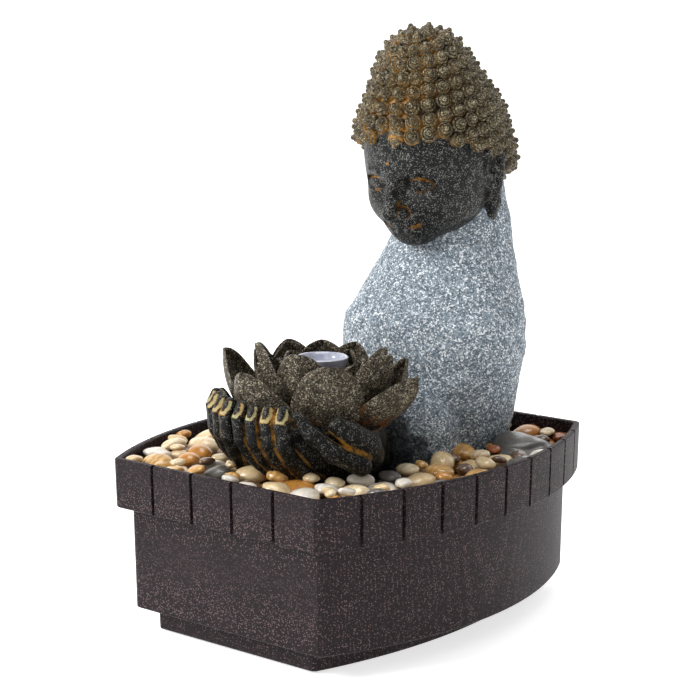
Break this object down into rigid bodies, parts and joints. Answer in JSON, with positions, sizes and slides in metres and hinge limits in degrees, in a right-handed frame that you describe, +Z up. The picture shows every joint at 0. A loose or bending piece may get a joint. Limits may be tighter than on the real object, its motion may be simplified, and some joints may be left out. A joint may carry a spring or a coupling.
{
  "type": "tabletop water fountain",
  "caption": "Tabletop water fountain: grooved boat-shaped basin of pebbles, a stone-look bust and cupped hands that hold a lotus spout, and a submersible pump.",
  "frame": {"origin": "centre of the footprint, on the surface that the foot pads stand on", "axes": "+Z up; the figure faces -Y and the lotus lies in front of it; +X is on the figure's left"},
  "size_m": [0.173, 0.2, 0.2756],
  "materials": {
    "basin_plastic": "satin, dark aubergine brown with fine copper-pink speckles",
    "rubber_black": "matt",
    "deck_plastic": "satin black",
    "steel": "drawn",
    "pump_plastic": "satin black",
    "slider_plastic": "light grey",
    "impeller_plastic": "off-white",
    "ferrite": "dark grey",
    "shaft_ceramic": "polished",
    "core_steel": "laminated",
    "copper": "enamelled copper wire",
    "potting_resin": "cast epoxy",
    "tube_vinyl": "translucent vinyl",
    "cast_granite": "rough stone-look cast, blue grey with light and dark grains",
    "cast_dark": "charcoal stone-look cast with ochre rubbed into the recesses",
    "cast_hair": "olive brown cast with ochre between the curls",
    "cast_lotus": "olive brown sandy cast, orange in the recesses",
    "spout_glaze": "pale lilac gloss",
    "pebble_cream": "polished",
    "pebble_quartz": "polished",
    "pebble_amber": "polished",
    "pebble_russet": "polished",
    "pebble_brown": "polished",
    "pebble_grey": "polished",
    "slate": "polished, dark"
  },
  "bodies": {
    "basin_unit": {"basin": "basin_plastic", "foot_pads": "rubber_black", "cord_grommet": "rubber_black", "deck": "deck_plastic", "figure_pins": "steel", "pump_suction_cups": "rubber_black", "pump_housing": "pump_plastic", "pump_volute_cover": "pump_plastic", "pump_strainer_cover": "pump_plastic", "pump_shaft": "shaft_ceramic", "pump_shaft_bushes": "rubber_black", "pump_sealing_ring": "rubber_black", "pump_stator_core": "core_steel", "pump_bobbins": "impeller_plastic", "pump_windings": "copper", "pump_potting": "potting_resin", "pump_back_plate": "pump_plastic", "pump_screws": "steel", "pump_cable_gland": "rubber_black", "riser_tube": "tube_vinyl", "pebbles_cream": "pebble_cream", "pebbles_quartz": "pebble_quartz", "pebbles_amber": "pebble_amber", "pebbles_russet": "pebble_russet", "pebbles_brown": "pebble_brown", "pebbles_grey": "pebble_grey", "slate_stone": "slate"},
    "rotor": {"pump_impeller": "impeller_plastic", "pump_rotor_magnet": "ferrite"},
    "flow_slider": {"pump_flow_slider": "slider_plastic"},
    "figure": {"torso": "cast_granite", "neck_dowel": "steel", "head": "cast_dark", "hair": "cast_hair", "left_hand": "cast_dark", "right_hand": "cast_dark", "lotus_heart": "cast_lotus", "lotus_outer_petals": "cast_lotus", "lotus_middle_petals": "cast_lotus", "lotus_inner_petals": "cast_lotus", "spout_cup": "spout_glaze"}
  },
  "joints": [
    {"name": "rotor_spin", "type": "hinge", "parent": "basin_unit", "child": "rotor", "pos_m": [-0.007, -0.02, 0.0218], "axis": [0, 1, 0], "continuous": true},
    {"name": "flow_slide", "type": "slide", "parent": "basin_unit", "child": "flow_slider", "axis": [1, 0, 0], "range_m": [0, 0.008]},
    {"name": "figure_lift", "type": "slide", "parent": "basin_unit", "child": "figure", "axis": [0, 0, 1], "range_m": [0, 0.2]}
  ]
}
